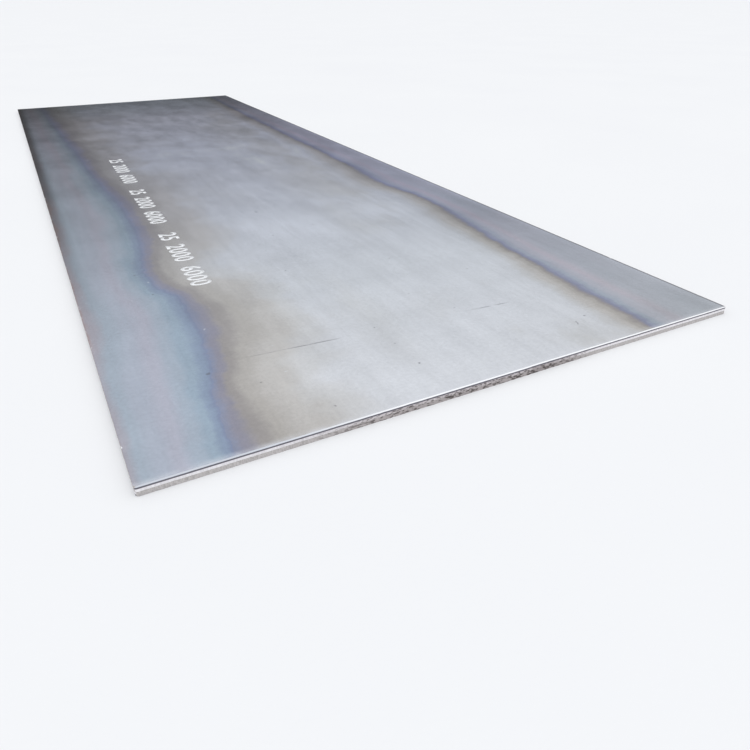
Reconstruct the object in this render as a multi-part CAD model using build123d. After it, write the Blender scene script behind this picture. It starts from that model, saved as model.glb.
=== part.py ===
from build123d import *
import os

# One hot-rolled steel plate, lying flat on its lower face. All lengths are in millimetres.
# Origin: middle of the lower face. X runs across the plate, Y along the rolling direction, Z up.

# Stock size, measured over the cut edges
plate_width = 2000.0
plate_length = 6000.0
plate_thickness = 25.0
corner_radius = 8.0  # cut corners are blunted where two shear cuts meet

# A sheared edge has three zones: where the blade pressed in, the surface bends over (the roll),
# then comes the smooth land that the blade cut, then the fracture, which leans out to the burr side.
end_roll_run = 5.0
end_roll_depth = 2.5
end_land = 10.5
end_lean = 2.0
side_roll_run = 4.0
side_roll_depth = 2.0
side_land = 8.5
side_lean = 1.5

# The end shear has a blade in two pieces. The second piece cuts a little deeper than the first,
# which leaves a step in each cut end, to the right of the plate's middle.
blade_joint_x = 130.0
blade_step = 1.0


def sheared_edge(outer, roll_run, roll_depth, land, lean):
    """Outline of a cut edge that faces +X, from the rolled lower corner up to the burr corner.

    Drawn with the plate's lower face on Y = 0, and with its widest point at X = outer.
    """
    land_x = outer - lean
    land_top = roll_depth + land
    roll = EllipticalCenterArc(
        (land_x - roll_run, roll_depth), roll_run, roll_depth, start_angle=270, arc_size=90
    )
    rise = Polyline((land_x, roll_depth), (land_x, land_top), (outer, plate_thickness))
    return roll + rise


def side_section():
    """Section across the plate. Both long edges were held on the lower blade when they were
    trimmed, so the roll is at the bottom and the burr at the top."""
    half = plate_width / 2
    right = sheared_edge(half, side_roll_run, side_roll_depth, side_land, side_lean)
    left = mirror(right, about=Plane.YZ)
    top = Line((-half, plate_thickness), (half, plate_thickness))
    foot = half - side_lean - side_roll_run
    bottom = Line((-foot, 0), (foot, 0))
    return make_face((right + left + top + bottom).edges())


def end_section(step):
    """Section along the plate, drawn with the length along X. The far end was held on the lower
    blade, so its burr is at the top. The near end was the one that dropped, so it is the same
    edge turned over, with its roll at the top and its burr on the floor."""
    half = plate_length / 2 - step
    held = sheared_edge(half, end_roll_run, end_roll_depth, end_land, end_lean)
    middle = Axis((0, plate_thickness / 2, 0), (0, 0, 1))
    dropped = held.rotate(middle, 180)
    foot = half - end_lean - end_roll_run
    top = Line((-foot, plate_thickness), (half, plate_thickness))
    bottom = Line((-half, 0), (foot, 0))
    return make_face((held + dropped + top + bottom).edges())


def lengthways_block(step, x_from, x_to):
    """The end section stretched across the plate from x_from to x_to."""
    across = Plane((x_from, 0, 0), x_dir=(0, 1, 0), z_dir=(1, 0, 0))
    return extrude(across * end_section(step), x_to - x_from)


def steel_plate():
    """The plate is what its plan, its section across and its section along have in common."""
    plan = extrude(RectangleRounded(plate_width, plate_length, corner_radius), plate_thickness)
    across = extrude(Plane.XZ * side_section(), plate_length / 2, both=True)
    first_cut = lengthways_block(0, -plate_width / 2, blade_joint_x)
    second_cut = lengthways_block(blade_step, blade_joint_x, plate_width / 2)
    return plan & across & (first_cut + second_cut)


plate = steel_plate()
os.makedirs("parts", exist_ok=True)
export_step(plate, "parts/steel_plate.step")

box = plate.bounding_box()
print("solids", len(plate.solids()), "faces", len(plate.faces()), "volume", round(plate.volume))
print("size", box.size, "from", box.min, "to", box.max)
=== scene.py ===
import math

import bmesh
import bpy
from mathutils import Matrix, Vector, noise


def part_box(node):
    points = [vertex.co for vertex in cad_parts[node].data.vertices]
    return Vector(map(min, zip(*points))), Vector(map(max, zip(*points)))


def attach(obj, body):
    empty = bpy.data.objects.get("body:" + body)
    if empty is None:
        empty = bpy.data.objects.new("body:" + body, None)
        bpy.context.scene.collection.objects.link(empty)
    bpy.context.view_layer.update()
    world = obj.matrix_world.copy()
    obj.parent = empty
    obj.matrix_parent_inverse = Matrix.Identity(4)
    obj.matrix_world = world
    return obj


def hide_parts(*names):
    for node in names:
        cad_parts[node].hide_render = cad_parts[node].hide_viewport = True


# A hot-rolled steel plate as the shears leave it. Both faces keep their mill scale, with heat tint
# along the long sides, and the cut edges are bare metal. Metres, in the frame's own axes: X runs
# across the plate, Y along it, and Z up from the lower face.

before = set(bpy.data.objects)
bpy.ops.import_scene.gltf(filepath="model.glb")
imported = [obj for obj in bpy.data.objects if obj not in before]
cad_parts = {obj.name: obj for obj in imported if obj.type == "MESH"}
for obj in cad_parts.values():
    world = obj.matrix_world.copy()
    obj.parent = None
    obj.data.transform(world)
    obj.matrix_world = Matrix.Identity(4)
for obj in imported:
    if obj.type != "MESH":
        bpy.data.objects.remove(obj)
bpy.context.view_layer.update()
low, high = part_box("steel_plate")
half_width = high.x
half_length = high.y
thickness = high.z

# The rolled face lies this far under the top of the burr, which leaves room for the paint on it
burr_height = 0.0002
face_height = thickness - burr_height

# The camera stands at the near left corner and looks along the plate
camera_place = Vector((-1.026, -4.184, 0.963))
camera_heading = math.radians(28.1)
camera_pitch = math.radians(31.3)
camera_lens = 30.2


def tone(red, green, blue):
    """A colour in the 0 to 255 steps of a screen, as the linear numbers that a shader takes."""
    steps = [value / 255 for value in (red, green, blue)]
    return [s / 12.92 if s < 0.04045 else ((s + 0.055) / 1.055) ** 2.4 for s in steps] + [1.0]


# Cut edges

# The scale breaks off this far below the roll
crack = 0.0022


class Cut:
    """The section of one sheared edge, measured from the side where the blade pressed in."""

    def __init__(self, roll_run, roll_depth, land, lean):
        self.roll_run = roll_run
        self.roll_depth = roll_depth
        self.land_end = roll_depth + land
        self.lean = lean

    def inset(self, depth):
        """How far the edge lies inside its burr, at this depth below the rolled corner."""
        if depth < self.roll_depth:
            slope = 1 - depth / self.roll_depth
            return self.lean + self.roll_run * (1 - math.sqrt(1 - slope * slope))
        if depth < self.land_end:
            return self.lean
        return self.lean * (thickness - depth) / (thickness - self.land_end)

    def depths(self):
        """The depths at which a row of the mesh is needed."""
        turns = [math.radians(angle) for angle in (0, 25, 45, 65, 90)]
        roll = [self.roll_depth * (1 - math.cos(turn)) for turn in turns]
        land = [self.roll_depth + crack]
        land += [self.roll_depth + (self.land_end - self.roll_depth) * share for share in (0.4, 0.8, 1)]
        torn = [self.land_end + (thickness - self.land_end) * share for share in (0.15, 0.4, 0.7, 0.92, 1)]
        return roll + land + torn


end_cut = Cut(roll_run=0.005, roll_depth=0.0025, land=0.0105, lean=0.002)
side_cut = Cut(roll_run=0.004, roll_depth=0.002, land=0.0085, lean=0.0015)
blade_joint = 0.130
blade_step = 0.001
nick_place = -0.911
nick_depth, nick_run, nick_rise = 0.0015, 0.007, 0.009
corner_radius = 0.008
rim_run = 0.001

# The drawing in of the edges dies away over this distance from the rim
inset_run = 0.040

# How deep the torn part breaks, as small flakes and as wider notches
flake_depth, notch_depth = 0.0007, 0.0016

# How far the rows of the edge wander up and down, in long waves and in short ones
long_wave, short_wave = 0.0009, 0.0005

# How far the near end's lower edge is broken away: anywhere, and more beside a corner
ragged, ragged_corner, ragged_run = 0.0007, 0.0018, 0.18


def rough(place, rate, height=0.0, height_rate=0.0):
    """Smooth noise from -1 to 1 that is the same each run. The rate is in waves a metre."""
    return noise.noise(Vector((place.x * rate, place.y * rate, height * height_rate + rate)))


def insets(plan, height):
    """How far the two long sides, the near end and the far end are drawn in at this height."""
    step = blade_step if plan.x > blade_joint else 0.0
    side = side_cut.inset(height)
    near = end_cut.inset(thickness - height) + step
    far = end_cut.inset(height) + step
    return side, near, far


def tear(plan, depth, cut):
    """How far the torn part of a cut breaks back into the plate, worst towards the burr."""
    share = (depth - cut.land_end) / (thickness - cut.land_end)
    if share <= 0:
        return 0.0
    flakes = abs(rough(plan, 150, depth, 260)) + 0.7 * abs(rough(plan, 420, depth, 300))
    notches = max(0.0, rough(plan, 34) - 0.15) * share
    return flake_depth * flakes * min(1.0, share * 4) + notch_depth * notches


def nick(plan, height):
    """A small dent in the near end, close to its left corner."""
    across = max(0.0, 1 - abs(plan.x - nick_place) / nick_run)
    return nick_depth * across * max(0.0, 1 - abs(height - thickness / 2) / nick_rise)


def edge_point(plan, height):
    """Where a point of the plate's outline goes in the row of the mesh at this height."""
    from_side = half_width - abs(plan.x)
    from_near = plan.y + half_length
    from_far = half_length - plan.y
    side, near, far = insets(plan, height)
    if from_near < from_side:
        near += tear(plan, thickness - height, end_cut) + nick(plan, height)
    elif from_far < from_side:
        far += tear(plan, height, end_cut)
    else:
        side += tear(plan, height, side_cut)
    x = plan.x - math.copysign(side * max(0.0, 1 - from_side / inset_run), plan.x)
    y = plan.y + near * max(0.0, 1 - from_near / inset_run) - far * max(0.0, 1 - from_far / inset_run)
    share = height / thickness
    wave = long_wave * rough(plan, 9) + short_wave * rough(plan, 60)
    z = height + wave * 4 * share * (1 - share)
    if height == thickness:
        burr = 0.0 if from_near < from_side else 0.5 + 0.5 * rough(plan, 45)
        z = face_height + burr_height * burr
    elif height == 0 and from_near < from_side:
        broken = ragged + ragged_corner * max(0.0, 1 - from_side / ragged_run)
        z = broken * max(0.0, rough(plan, 70) + 0.1)
    return Vector((x, y, z))


def rim_point(plan):
    """The last point of the flat face before the cut, a little inside the row where the cut begins."""
    place = edge_point(plan, thickness)
    if half_width - abs(plan.x) <= corner_radius:
        place.x -= math.copysign(rim_run, plan.x)
    if half_length - abs(plan.y) <= corner_radius:
        place.y -= math.copysign(rim_run, plan.y)
    place.z = face_height
    return place


# Mesh

# Cells of the face across and along it, and the steps that a cell's edge is divided into on each side
TOP_CELLS = 40, 120
NEAR_STEPS, FAR_STEPS, SIDE_STEPS = 18, 8, 6

# Rows of the edge that would lie closer than this are one row
ROW_GAP = 0.0003

# A point this near to the outline lies on it
TOUCHING = 1e-5

# Edges of the mesh that bend by more than this stay sharp
SHARP_BEND = math.radians(26)

# The finishes by number, in the order in which the plate is given them
ROLLED, CREASED, SHEARED, TORN = range(4)


def outline_edges(bm):
    return [edge for edge in bm.edges if edge.is_boundary]


def divide(bm, edges, steps):
    bmesh.ops.subdivide_edges(bm, edges=edges, cuts=steps - 1)


def face_grid():
    """The upper face as a grid, with rounded corners and a fine row of points round its outline."""
    bm = bmesh.new()
    across, along = TOP_CELLS
    bmesh.ops.create_grid(bm, x_segments=across, y_segments=along, size=1.0)
    bmesh.ops.scale(bm, verts=bm.verts, vec=(half_width, half_length, 1.0))
    corners = [v for v in bm.verts if len(v.link_edges) == 2]
    bmesh.ops.bevel(
        bm, geom=corners, affect="VERTICES", offset=corner_radius, segments=4, profile=0.5, material=-1
    )
    near = [e for e in outline_edges(bm) if max(v.co.y for v in e.verts) < TOUCHING - half_length]
    far = [e for e in outline_edges(bm) if min(v.co.y for v in e.verts) > half_length - TOUCHING]
    sides = [e for e in outline_edges(bm) if min(abs(v.co.x) for v in e.verts) > half_width - TOUCHING]
    divide(bm, near, NEAR_STEPS)
    divide(bm, far, FAR_STEPS)
    divide(bm, sides, SIDE_STEPS)
    return bm


def row_heights():
    """Every height at which one of the edges needs a row, from the top down."""
    wanted = [thickness - depth for depth in end_cut.depths()]
    wanted += end_cut.depths() + side_cut.depths()
    kept = []
    for height in sorted(wanted, reverse=True):
        if not kept or kept[-1] - height > ROW_GAP:
            kept.append(height)
    kept[0], kept[-1] = thickness, 0.0
    return kept


def zone(face):
    """Which kind of surface a face of the cut edge is."""
    middle = face.calc_center_median()
    from_side = half_width - abs(middle.x)
    from_near = middle.y + half_length
    from_far = half_length - middle.y
    if from_near < from_side:
        depth, cut = thickness - middle.z, end_cut
    elif from_far < from_side:
        depth, cut = middle.z, end_cut
    else:
        depth, cut = middle.z, side_cut
    if depth < cut.roll_depth + crack:
        return CREASED
    return SHEARED if depth < cut.land_end else TORN


def plate_mesh():
    """The plate as one closed shell: the upper face, the cut edge row by row, and the lower face."""
    bm = face_grid()
    plan = bm.verts.layers.float_vector.new("plan")
    for vert in bm.verts:
        vert[plan] = vert.co
        vert.co.z = face_height
    rim = outline_edges(bm)
    for vert in {v for e in rim for v in e.verts}:
        vert.co = rim_point(vert[plan])
    edge_faces = []
    for height in row_heights():
        grown = bmesh.ops.extrude_edge_only(bm, edges=rim)["geom"]
        edge_faces += [g for g in grown if isinstance(g, bmesh.types.BMFace)]
        rim = [g for g in grown if isinstance(g, bmesh.types.BMEdge) and g.is_boundary]
        for vert in {v for e in rim for v in e.verts}:
            vert.co = edge_point(Vector(vert[plan]), height)
    for face in edge_faces:
        face.material_index = zone(face)
    floor_face = bmesh.ops.edgeloop_fill(bm, edges=rim)["faces"]
    for face in floor_face:
        face.material_index = ROLLED
    bmesh.ops.recalc_face_normals(bm, faces=bm.faces)
    for face in bm.faces:
        face.smooth = True
    for edge in bm.edges:
        edge.smooth = edge.calc_face_angle(0) < SHARP_BEND
    mesh = bpy.data.meshes.new("dressed_plate")
    bm.to_mesh(mesh)
    bm.free()
    return mesh


# Finishes


class Nodes:
    """Builds a shader tree node by node. Each method gives back a socket for the next to use."""

    def __init__(self, tree, coordinates):
        self.tree = tree
        self.place = tree.nodes.new("ShaderNodeTexCoord").outputs[coordinates]
        self.x, self.y, self.z = self.node("ShaderNodeSeparateXYZ", Vector=self.place).outputs

    def feed(self, socket, value):
        if isinstance(value, bpy.types.NodeSocket):
            self.tree.links.new(value, socket)
        else:
            socket.default_value = value

    def node(self, kind, settings=(), **inputs):
        made = self.tree.nodes.new(kind)
        for name, value in dict(settings).items():
            setattr(made, name, value)
        for name, value in inputs.items():
            self.feed(made.inputs[name.replace("_", " ")], value)
        return made

    def sum(self, operation, first, second=0.0, third=0.0):
        made = self.node("ShaderNodeMath", {"operation": operation})
        for socket, value in zip(made.inputs, (first, second, third)):
            self.feed(socket, value)
        return made.outputs[0]

    def noise(self, scale, stretch=(1, 1, 1), shift=0.0, detail=3.0, grit=0.5):
        """Noise round 0.5. The scale is in waves a metre, and the stretch lengthens them."""
        turned = self.node("ShaderNodeMapping", Vector=self.place)
        turned.inputs["Scale"].default_value = [scale / s for s in stretch]
        turned.inputs["Location"].default_value = (shift, shift, shift)
        made = self.node(
            "ShaderNodeTexNoise", Vector=turned.outputs[0], Scale=1.0, Detail=detail, Roughness=grit
        )
        return made.outputs["Fac"]

    def swing(self, source, reach):
        """Noise turned into a value from about -reach to reach."""
        return self.sum("MULTIPLY", self.sum("SUBTRACT", source, 0.5), reach * 2.6)

    def fade(self, value, start, end, low=0.0, high=1.0):
        """Goes smoothly from low to high while value goes from start to end."""
        made = self.node("ShaderNodeMapRange", {"interpolation_type": "SMOOTHSTEP"})
        for socket, number in zip(made.inputs, (value, start, end, low, high)):
            self.feed(socket, number)
        return made.outputs[0]

    def curve(self, value, points):
        """A smooth line through points, with value and points both from 0 to 1."""
        made = self.node("ShaderNodeFloatCurve", Value=value)
        line = made.mapping.curves[0]
        line.points[0].location, line.points[-1].location = points[0], points[-1]
        for point in points[1:-1]:
            line.points.new(*point)
        made.mapping.update()
        return made.outputs[0]

    def ramp(self, value, stops, smooth=True):
        made = self.node("ShaderNodeValToRGB", Fac=value)
        made.color_ramp.interpolation = "EASE" if smooth else "LINEAR"
        dots = made.color_ramp.elements
        dots[0].position, dots[1].position = stops[0][0], stops[-1][0]
        dots[0].color, dots[1].color = stops[0][1], stops[-1][1]
        for place, colour in stops[1:-1]:
            dots.new(place).color = colour
        return made.outputs["Color"]

    def mix(self, share, first, second, blend="MIX"):
        made = self.node("ShaderNodeMix", {"data_type": "RGBA", "blend_type": blend})
        for socket, value in ((made.inputs[0], share), (made.inputs[6], first), (made.inputs[7], second)):
            self.feed(socket, value)
        return made.outputs[2]

    def choose(self, share, first, second):
        made = self.node("ShaderNodeMix", {"data_type": "FLOAT"})
        for socket, value in ((made.inputs[0], share), (made.inputs[2], first), (made.inputs[3], second)):
            self.feed(socket, value)
        return made.outputs[0]

    def dim(self, colour, strength):
        """A colour times a number."""
        grey = self.node("ShaderNodeCombineColor", Red=strength, Green=strength, Blue=strength)
        return self.mix(1.0, colour, grey.outputs[0], "MULTIPLY")

    def relief(self, height, distance, under=None):
        made = self.node("ShaderNodeBump", Height=height, Distance=distance, Strength=1.0)
        if under is not None:
            self.feed(made.inputs["Normal"], under)
        return made.outputs[0]


class Finish(Nodes):
    """One material on the plate or the floor."""

    def __init__(self, name):
        self.material = bpy.data.materials.new(name)
        self.material.use_nodes = True
        super().__init__(self.material.node_tree, "Object")
        self.shader = self.tree.nodes["Principled BSDF"]

    def finish(self, colour, roughness, normal, metallic):
        self.feed(self.shader.inputs["Base Color"], colour)
        self.feed(self.shader.inputs["Roughness"], roughness)
        self.feed(self.shader.inputs["Normal"], normal)
        self.shader.inputs["Metallic"].default_value = metallic
        return self.material


# Widths of the tinted bands in metres, from the near end (0) to the far end (1)
LEFT_BAND = [(0, 0.238), (0.05, 0.262), (0.085, 0.305), (0.15, 0.337), (0.205, 0.270), (0.28, 0.322),
             (0.37, 0.338), (0.46, 0.300), (0.60, 0.275), (0.8, 0.235), (1, 0.20)]
RIGHT_BAND = [(0, 0.350), (0.08, 0.318), (0.16, 0.280), (0.25, 0.213), (0.29, 0.215), (0.33, 0.250),
              (0.42, 0.228), (0.7, 0.21), (1, 0.17)]

# Colours of the band from the plate's side (0) to the tint line (1)
BAND_TINTS = [
    (0.00, tone(186, 170, 172)),
    (0.05, tone(182, 180, 190)),
    (0.16, tone(178, 190, 203)),
    (0.34, tone(186, 194, 208)),
    (0.52, tone(190, 193, 207)),
    (0.70, tone(182, 194, 208)),
    (0.84, tone(168, 186, 202)),
    (0.94, tone(154, 170, 193)),
    (1.00, tone(146, 157, 184)),
]
# and past the line, over the next stretch towards the middle
FRINGE_TINTS = [
    (0.00, tone(150, 159, 184)),
    (0.07, tone(157, 158, 174)),
    (0.15, tone(169, 167, 168)),
    (0.28, tone(189, 188, 186)),
    (0.48, tone(204, 204, 204)),
    (0.75, tone(212, 215, 219)),
    (1.00, tone(217, 222, 230)),
]
LEFT_FRINGE, RIGHT_FRINGE = 0.40, 0.15
CALM_MIDDLE = tone(226, 232, 241)
WARM_MIDDLE = tone(211, 214, 216)

# Painted shade: how much of its brightness the scale keeps, from the near end (0) to the far end (1)
FAR_PAINTED_SHADE = [(0, 0.93), (0.12, 0.97), (0.5, 1.0), (0.72, 0.98), (0.9, 0.66), (1, 0.45)]

# The share of its mirroring that it keeps where it is seen almost edge on
EDGE_SHADE = (0.57, 0.57, 0.57, 1.0)

# How much painted shade is laid over the far left corner and the left rim, and how much paler
# the right half is made round the middle of its length
CORNER_PAINTED_SHADE, RIM_PAINTED_SHADE, RIGHT_HALF_GAIN = 0.20, 0.75, 0.13

# What red, green and blue are multiplied by in each part of it, from the near end (0) to the far end (1)
LEFT_CAST = [
    (0.00, (1.00, 1.00, 1.00, 1)),
    (0.18, (0.95, 0.95, 0.95, 1)),
    (0.40, (0.99, 0.99, 1.00, 1)),
    (0.70, (0.96, 0.91, 0.94, 1)),
    (1.00, (0.92, 0.86, 0.88, 1)),
]
RIGHT_CAST = [
    (0.00, (1.10, 1.06, 0.98, 1)),
    (0.15, (1.08, 1.03, 1.01, 1)),
    (0.35, (1.04, 0.99, 1.07, 1)),
    (0.60, (1.02, 0.94, 1.05, 1)),
    (1.00, (0.98, 0.92, 0.98, 1)),
]
MIDDLE_CAST = [
    (0.00, (1.03, 1.00, 0.965, 1)),
    (0.15, (1.01, 1.00, 0.985, 1)),
    (0.35, (1.00, 1.00, 1.05, 1)),
    (0.60, (1.00, 1.00, 1.10, 1)),
    (0.82, (1.03, 1.00, 1.09, 1)),
    (1.00, (0.95, 1.00, 1.08, 1)),
]
# and in the inner part of the right band, along all of it
RIGHT_INNER_CAST = (1.06, 0.98, 1.00, 1)


def scale_colour(f):
    """The colour of mill scale: two tinted bands along the sides and a paler, streaky middle."""
    along = f.sum("DIVIDE", f.sum("ADD", f.y, half_length), 2 * half_length)
    from_side = f.sum("SUBTRACT", half_width, f.sum("ABSOLUTE", f.x))
    right = f.sum("GREATER_THAN", f.x, 0.0)
    band = f.choose(right, f.curve(along, LEFT_BAND), f.curve(along, RIGHT_BAND))
    wander = f.sum("ADD", f.swing(f.noise(2.6, shift=3.1), 0.010), f.swing(f.noise(9, shift=7.7), 0.012))
    lobes = f.swing(f.noise(30, stretch=(1.6, 1, 1), shift=1.9, detail=5, grit=0.6), 0.013)
    band = f.sum("ADD", band, f.sum("ADD", wander, lobes))
    share = f.sum("POWER", f.sum("DIVIDE", from_side, band), f.choose(right, 1.0, 1.6))
    share = f.sum("MAXIMUM", share, f.sum("MULTIPLY", right, 0.32))
    mottle = f.swing(f.noise(4.5, stretch=(1, 3.2, 1), shift=1.3, detail=5, grit=0.6), 0.16)
    inner = f.fade(share, 1.0, 0.7)
    tint = f.ramp(f.sum("ADD", share, f.sum("MULTIPLY", mottle, inner)), BAND_TINTS)
    cast = f.mix(right, f.ramp(along, LEFT_CAST, smooth=False), f.ramp(along, RIGHT_CAST, smooth=False))
    tint = f.mix(1.0, tint, cast, "MULTIPLY")
    inner_right = f.sum("MULTIPLY", right, f.fade(share, 0.4, 0.8))
    tint = f.mix(inner_right, tint, RIGHT_INNER_CAST, "MULTIPLY")
    past = f.sum("SUBTRACT", from_side, band)
    spread = f.fade(f.noise(2.1, shift=5.2), 0.3, 0.7, 0.75, 1.3)
    width = f.sum("MULTIPLY", f.choose(right, LEFT_FRINGE, RIGHT_FRINGE), spread)
    inward = f.sum("DIVIDE", past, width)
    fringe = f.ramp(inward, FRINGE_TINTS)
    patches = f.noise(1.9, stretch=(1, 1.8, 1), shift=4.4, detail=5, grit=0.6)
    warm = f.sum("MULTIPLY", f.fade(patches, 0.56, 0.36), f.fade(past, 0.85, 0.15))
    middle = f.mix(warm, CALM_MIDDLE, WARM_MIDDLE)
    scale = f.mix(f.fade(inward, 0.5, 1.5), fringe, middle)
    scale = f.mix(1.0, scale, f.ramp(along, MIDDLE_CAST, smooth=False), "MULTIPLY")
    scale = f.mix(f.sum("GREATER_THAN", past, 0.0), tint, scale)
    return scale, along, from_side


def cross_line(f, y, start, end):
    """A fine dark line that a roller left across the plate, broken up along its length."""
    slope = f.sum("MULTIPLY_ADD", f.x, 0.07, f.y)
    off = f.sum("ABSOLUTE", f.sum("SUBTRACT", slope, y))
    line = f.fade(off, 0.0045, 0.0015)
    reach = f.sum("MULTIPLY", f.fade(f.x, start, start + 0.12), f.fade(f.x, end, end - 0.06))
    broken = f.fade(f.noise(14, shift=9.3), 0.36, 0.55)
    return f.sum("MULTIPLY", f.sum("MULTIPLY", line, reach), broken)


def paler_print(f):
    """A patch at the near end where the scale is a shade paler, with a straight outline."""
    across = f.sum("MULTIPLY", f.fade(f.x, -0.628, -0.620), f.fade(f.x, 0.1, -0.35))
    slope = f.sum("MULTIPLY_ADD", f.x, 0.07, f.y)
    return f.sum("MULTIPLY", across, f.fade(slope, -2.585, -2.605))


def weathered(f, scale, along, from_side):
    """The same colour with what lies over all of it: painted shade over the far end, the far left corner
    and the left rim, rollers' traces, fine grain.
    """
    grain = f.noise(90, detail=6, grit=0.7)
    clouds = f.noise(1.3, stretch=(1, 1.4, 1), shift=8.8, detail=6, grit=0.65)
    blotches = f.noise(8, stretch=(1, 2.2, 1), shift=2.9, detail=6, grit=0.7)
    streaks = f.noise(15, stretch=(1, 14, 1), shift=2.2, detail=6, grit=0.7)
    bars = f.noise(3.4, stretch=(6, 1, 1), shift=6.1, detail=4)
    shine = f.sum("ADD", f.fade(grain, 0.25, 0.75, -0.05, 0.05), f.fade(clouds, 0.3, 0.7, -0.055, 0.05))
    shine = f.sum("ADD", shine, f.fade(bars, 0.3, 0.7, -0.04, 0.03))
    shine = f.sum("ADD", shine, f.fade(blotches, 0.3, 0.7, -0.035, 0.035))
    shine = f.sum("ADD", shine, f.fade(streaks, 0.3, 0.7, -0.04, 0.04))
    shine = f.sum("ADD", shine, f.sum("MULTIPLY", paler_print(f), 0.03))
    off_middle = f.sum("ABSOLUTE", f.sum("ADD", f.y, 0.2))
    paler_half = f.sum("MULTIPLY", f.fade(f.x, 0.05, 0.4), f.fade(off_middle, 1.6, 0.6))
    shine = f.sum("ADD", shine, f.sum("MULTIPLY", paler_half, RIGHT_HALF_GAIN))
    # Painted shade over the far end, standing in for the dim surroundings that the steel mirrors there, and
    # a little over the near end
    dull = f.curve(along, FAR_PAINTED_SHADE)
    # Painted shade, darkest at the far left corner and along the left rim over most of its length
    corner = f.sum("MULTIPLY", f.fade(f.x, -0.2, -1.0), f.fade(along, 0.35, 1.0))
    dull = f.sum("MULTIPLY", dull, f.sum("MULTIPLY_ADD", corner, -CORNER_PAINTED_SHADE, 1.0))
    rim = f.sum("MULTIPLY", f.fade(from_side, 0.07, 0.01), f.fade(along, 0.05, 0.60))
    rim = f.sum("MULTIPLY", rim, f.sum("LESS_THAN", f.x, 0.0))
    dull = f.sum("MULTIPLY", dull, f.sum("MULTIPLY_ADD", rim, -RIM_PAINTED_SHADE, 1.0))
    colour = f.dim(scale, f.sum("MULTIPLY", f.sum("ADD", shine, 1.0), dull))
    marks = f.sum("ADD", cross_line(f, -2.592, -0.62, -0.27), cross_line(f, -2.583, 0.16, 0.37))
    specks = f.noise(26, shift=3.7, detail=2)
    marks = f.sum("ADD", f.sum("MULTIPLY", marks, 0.45), f.fade(specks, 0.245, 0.215, 0.0, 0.5))
    pale = f.fade(f.noise(31, shift=5.9, detail=2), 0.765, 0.80, 0.0, 0.6)
    colour = f.mix(marks, colour, tone(96, 96, 102))
    colour = f.mix(pale, colour, tone(222, 226, 232))
    return colour, blotches


def rubbed_rims(f, colour, from_side):
    """The rims: rubbed pale at both ends, with a strip of painted shade along the right side and painted
    glints along both sides.
    """
    from_end = f.sum("SUBTRACT", half_length, f.sum("ABSOLUTE", f.y))
    patchy = f.fade(f.noise(22, detail=4), 0.3, 0.7, 0.15, 0.6)
    colour = f.mix(f.sum("MULTIPLY", f.fade(from_end, 0.030, 0.004), patchy), colour, tone(226, 229, 236))
    # A dark strip of painted shade along the right rim
    right_rim_shade = f.sum("MULTIPLY", f.fade(from_side, 0.012, 0.004), f.sum("GREATER_THAN", f.x, 0.0))
    colour = f.mix(f.sum("MULTIPLY", right_rim_shade, 0.7), colour, tone(104, 101, 107))
    # Painted glints: bright spots along both side rims where the burr would catch the light
    painted_glints = f.sum("MULTIPLY", f.fade(from_side, 0.006, 0.003), f.fade(f.noise(26, shift=4.9), 0.62, 0.68))
    return f.mix(painted_glints, colour, tone(240, 241, 244))


def mill_scale():
    """The skin of both rolled faces: smooth, tinted by heat, and mirroring like dull metal."""
    f = Finish("mill_scale")
    scale, along, from_side = scale_colour(f)
    colour, blotches = weathered(f, scale, along, from_side)
    colour = rubbed_rims(f, colour, from_side)
    waves = f.relief(f.noise(2.2, stretch=(1, 1.5, 1), detail=1), 0.006)
    normal = f.relief(f.noise(260, detail=2), 0.00003, under=waves)
    roughness = f.fade(blotches, 0.25, 0.75, 0.21, 0.26)
    f.shader.inputs["Specular Tint"].default_value = EDGE_SHADE
    return f.finish(colour, roughness, normal, 0.88)


def creased_scale():
    """Where the face bends into the cut, the scale is rubbed bright, with a painted highlight that is
    brightest towards the right, and then cracked dark.
    """
    f = Finish("creased_scale")
    depth = f.sum("MINIMUM", f.z, f.sum("SUBTRACT", thickness, f.z))
    cracks = f.swing(f.noise(160, stretch=(3, 3, 1), detail=3), 0.0003)
    # Rubbed scale with a painted highlight over the top of the bend, brighter towards the right
    bend_wear_and_highlight = f.mix(f.fade(f.x, -0.75, -0.25), tone(204, 208, 217), tone(248, 249, 252))
    colour = f.mix(f.fade(f.sum("ADD", depth, cracks), 0.0010, 0.0016), bend_wear_and_highlight, tone(92, 90, 100))
    normal = f.relief(f.noise(300, detail=3), 0.0002)
    return f.finish(colour, 0.36, normal, 0.6)


def stains(f):
    """How pitted and brown the cut is: not at the corners, most up to and just past the blade joint."""
    across = f.sum("ADD", f.x, f.swing(f.noise(3.1, shift=1.7, detail=4), 0.05))
    stained = f.sum("MULTIPLY", f.fade(across, -0.70, -0.28), f.fade(across, 0.44, 0.24))
    return stained, f.sum("MULTIPLY", f.sum("GREATER_THAN", f.x, blade_joint), f.fade(across, 0.36, 0.16))


def pits(f, shift):
    """Small dark pits, longer along the edge than up it, in loose clusters."""
    fine = f.noise(190, stretch=(2.4, 2.4, 1), shift=shift, detail=3, grit=0.6)
    clusters = f.noise(38, stretch=(1.5, 1.5, 1), shift=shift, detail=3)
    return f.fade(f.sum("SUBTRACT", fine, f.swing(clusters, 0.05)), 0.50, 0.41)


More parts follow.
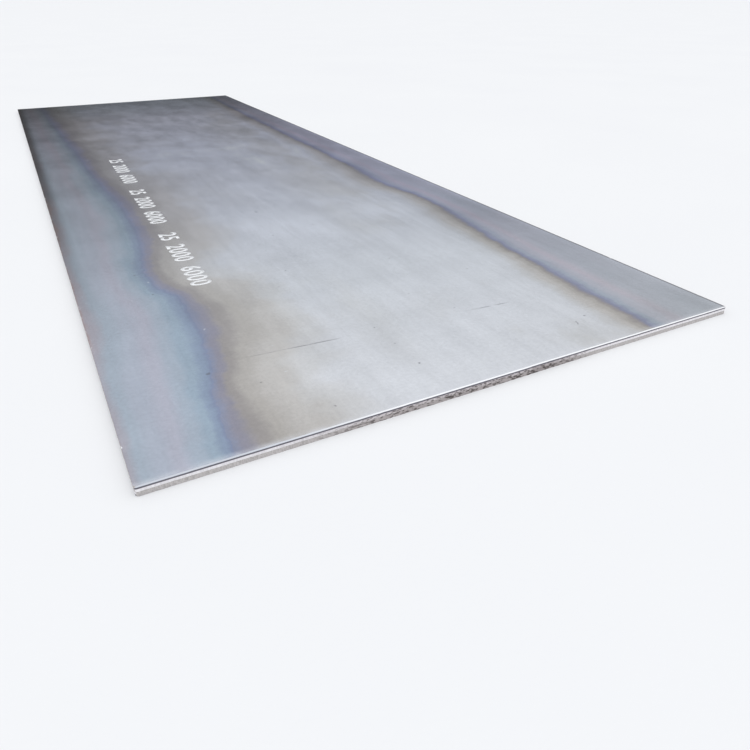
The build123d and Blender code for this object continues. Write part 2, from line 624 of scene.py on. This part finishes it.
def sheared_land():
    """The band that the blade cut clean: bright, scored up and down, pitted and stained in places."""
    f = Finish("sheared_land")
    scores = f.noise(240, stretch=(1, 1, 22), detail=3, grit=0.6)
    stained, worst = stains(f)
    flecks = f.noise(260, stretch=(2.0, 2.0, 1), shift=3.0, detail=5, grit=0.7)
    bright = f.mix(f.fade(scores, 0.3, 0.7), tone(224, 221, 224), tone(242, 240, 242))
    brown = f.mix(f.fade(flecks, 0.32, 0.66), tone(158, 150, 152), tone(220, 214, 215))
    colour = f.mix(f.sum("MULTIPLY", stained, 0.9), bright, brown)
    colour = f.mix(f.sum("MULTIPLY", worst, 0.45), colour, tone(148, 139, 140))
    low_down = f.fade(f.z, 0.0220, 0.0165, 0.25, 0.9)
    dark = f.sum("MULTIPLY", pits(f, 6.5), f.sum("MULTIPLY", stained, low_down))
    colour = f.mix(dark, colour, tone(82, 74, 71))
    depth = f.sum("MINIMUM", f.z, f.sum("SUBTRACT", thickness, f.z))
    # The land is darker just under the crease
    darker_under_crease = f.fade(depth, 0.0066, 0.0046, 0.0, 0.75)
    colour = f.mix(darker_under_crease, colour, tone(112, 108, 116))
    normal = f.relief(f.sum("SUBTRACT", scores, dark), 0.0003)
    return f.finish(colour, f.fade(scores, 0.3, 0.7, 0.28, 0.40), normal, 0.8)


def torn_steel():
    """The band that broke rather than being cut: grey, grainy and dull."""
    f = Finish("torn_steel")
    grain = f.noise(330, stretch=(1, 1, 3), detail=6, grit=0.7)
    lumps = f.noise(110, stretch=(1, 1, 1.6), shift=2.0, detail=4, grit=0.6)
    stained, worst = stains(f)
    colour = f.mix(f.fade(grain, 0.25, 0.75), tone(160, 156, 155), tone(206, 202, 201))
    colour = f.mix(f.sum("MULTIPLY", stained, 0.7), colour, tone(168, 160, 160))
    colour = f.mix(f.sum("MULTIPLY", worst, 0.45), colour, tone(136, 128, 129))
    colour = f.mix(f.fade(lumps, 0.36, 0.30, 0.0, 0.35), colour, tone(110, 105, 104))
    dark = f.sum("MULTIPLY", pits(f, 9.1), f.sum("MULTIPLY", stained, 0.9))
    colour = f.mix(dark, colour, tone(78, 71, 68))
    rugged = f.relief(f.sum("SUBTRACT", lumps, dark), 0.0010)
    return f.finish(colour, 0.5, f.relief(grain, 0.0006, under=rugged), 0.65)


def white_paint():
    """Worn marking paint, gone in patches and weakest towards the far end."""
    f = Finish("white_paint")
    scale, along, from_side = scale_colour(f)
    under, _ = weathered(f, scale, along, from_side)
    wear = f.noise(38, stretch=(1, 1.6, 1), shift=4.0, detail=5, grit=0.65)
    gone = f.sum("ADD", wear, f.fade(along, 0.15, 0.60, -0.15, -0.08))
    left = f.fade(gone, 0.62, 0.44)
    colour = f.mix(left, under, tone(228, 230, 233))
    normal = f.relief(left, 0.0001)
    return f.finish(colour, 0.6, normal, 0.1)


# Pieces


def add_piece(name, mesh, finishes):
    piece = bpy.data.objects.new(name, mesh)
    bpy.context.scene.collection.objects.link(piece)
    for finish in finishes:
        mesh.materials.append(finish)
    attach(piece, "root")
    return piece


def dressed_plate():
    piece = add_piece(
        "dressed_plate", plate_mesh(), [mill_scale(), creased_scale(), sheared_land(), torn_steel()]
    )
    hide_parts("steel_plate")
    return piece


# How high the digits are before their strokes are widened, how wide for that, and how much their
# strokes and the gaps between them are widened
NUMBER_HEIGHT = 0.078
NUMBER_WIDTH = 0.92
NUMBER_STROKE = 0.0022
NUMBER_GAP = 1.08

# The font's size for a digit about as high as 1
FONT_SIZE = 1.4

NUMBER_START = -0.560, 0.385
NUMBER_TURN = math.radians(-91)
NUMBER_ROWS = 3
paint_foot = face_height + burr_height * 0.1
paint_thickness = burr_height * 0.7


def number_row():
    """The plate's own sizes in millimetres, thickness first, over and over."""
    sizes = [str(round(size * 1000)) for size in (thickness, 2 * half_width, 2 * half_length)]
    return "     ".join(["  ".join(sizes)] * NUMBER_ROWS)


def number_mesh():
    """Plain size numbers, painted in a row along the plate to be read from its left side."""
    words = bpy.data.curves.new("size_numbers", "FONT")
    words.body = number_row()
    words.size = NUMBER_HEIGHT * FONT_SIZE
    words.offset = NUMBER_STROKE
    words.space_character = NUMBER_GAP
    sign = bpy.data.objects.new("size_numbers_flat", words)
    bpy.context.scene.collection.objects.link(sign)
    bpy.context.view_layer.update()
    mesh = bpy.data.meshes.new_from_object(sign.evaluated_get(bpy.context.evaluated_depsgraph_get()))
    bpy.data.objects.remove(sign)
    bm = bmesh.new()
    bm.from_mesh(mesh)
    bmesh.ops.scale(bm, verts=bm.verts, vec=(NUMBER_WIDTH, 1, 1))
    bmesh.ops.rotate(bm, verts=bm.verts, matrix=Matrix.Rotation(NUMBER_TURN, 3, "Z"))
    bmesh.ops.translate(bm, verts=bm.verts, vec=(*NUMBER_START, paint_foot))
    flat = bmesh.ops.extrude_face_region(bm, geom=bm.faces)["geom"]
    raised = [g for g in flat if isinstance(g, bmesh.types.BMVert)]
    bmesh.ops.translate(bm, verts=raised, vec=(0, 0, paint_thickness))
    bmesh.ops.recalc_face_normals(bm, faces=bm.faces)
    bm.to_mesh(mesh)
    bm.free()
    return mesh


def painted_numbers():
    return add_piece("size_numbers", number_mesh(), [white_paint()])


# Studio

WHITE_SKY = (0.97, 0.98, 1.0, 1.0)
DIM_WALL = (0.0, 0.0, 0.0, 1.0)

# How much of the wall stands at each height in the sky, from the skyline (0) to straight up (1)
WALL_SHADE = [(0, 1), (0.13, 0.98), (0.16, 0.90), (0.19, 0.72), (0.22, 0.55), (0.26, 0.34), (0.31, 0.18),
              (0.38, 0.05), (0.5, 0), (1, 0)]


# The floor reaches this far each way, and lies this far under the plate
FLOOR_REACH, FLOOR_DROP = 300, 0.0003


def pale_floor():
    mesh = bpy.data.meshes.new("floor")
    bm = bmesh.new()
    bmesh.ops.create_grid(bm, x_segments=1, y_segments=1, size=FLOOR_REACH)
    bmesh.ops.translate(bm, verts=bm.verts, vec=(0, 0, -FLOOR_DROP))
    bm.to_mesh(mesh)
    bm.free()
    f = Finish("pale_floor")
    f.shader.inputs["Specular IOR Level"].default_value = 0.1
    colour = f.mix(f.noise(0.7, detail=3), tone(225, 226, 228), tone(229, 230, 231))
    f.finish(colour, 0.8, f.relief(f.noise(60), 0.0002), 0.0)
    mesh.materials.append(f.material)
    floor = bpy.data.objects.new("floor", mesh)
    bpy.context.scene.collection.objects.link(floor)


def soft_sky(strength):
    """An even white sky, with a dark wall low down past the far end, which fades out upwards.

    The camera sees none of the wall straight, only what the steel mirrors of it. The wall also keeps
    a little light off the floor and the plate.
    """
    world = bpy.data.worlds.new("studio")
    world.use_nodes = True
    bpy.context.scene.world = world
    sky = Nodes(world.node_tree, "Generated")
    low_down = sky.curve(sky.z, WALL_SHADE)
    ahead = sky.fade(sky.y, -0.2, 0.5)
    wall = sky.sum("MULTIPLY", low_down, ahead)
    background = world.node_tree.nodes["Background"]
    seen_straight = sky.node("ShaderNodeLightPath").outputs["Is Camera Ray"]
    wall = sky.sum("MULTIPLY", wall, sky.sum("SUBTRACT", 1.0, seen_straight))
    sky.feed(background.inputs["Color"], sky.mix(wall, WHITE_SKY, DIM_WALL))
    background.inputs["Strength"].default_value = strength


def sun(name, strength, softness, elevation, heading):
    """A soft light from far off. The heading is where it comes from, clockwise from +Y.

    Its disc isn't mirrored in the steel, which shows only the sky.
    """
    lamp = bpy.data.lights.new(name, "SUN")
    lamp.energy = strength
    lamp.angle = math.radians(softness)
    light = bpy.data.objects.new(name, lamp)
    bpy.context.scene.collection.objects.link(light)
    up, turn = math.radians(elevation), math.radians(heading)
    toward = Vector((math.sin(turn) * math.cos(up), math.cos(turn) * math.cos(up), math.sin(up)))
    light.rotation_mode = "QUATERNION"
    light.rotation_quaternion = toward.to_track_quat("Z", "Y")
    light.visible_glossy = False


def photo_camera():
    lens = bpy.data.cameras.new("camera")
    lens.lens = camera_lens
    lens.sensor_width = 36
    lens.clip_start, lens.clip_end = 0.05, 900
    camera = bpy.data.objects.new("camera", lens)
    bpy.context.scene.collection.objects.link(camera)
    camera.location = camera_place
    camera.rotation_euler = (math.pi / 2 - camera_pitch, 0, -camera_heading)
    bpy.context.scene.camera = camera


dressed_plate()
painted_numbers()
pale_floor()
soft_sky(strength=0.95)
sun("front_light", strength=1.3, softness=40, elevation=46, heading=200)
photo_camera()
bpy.context.scene.view_settings.view_transform = "Standard"
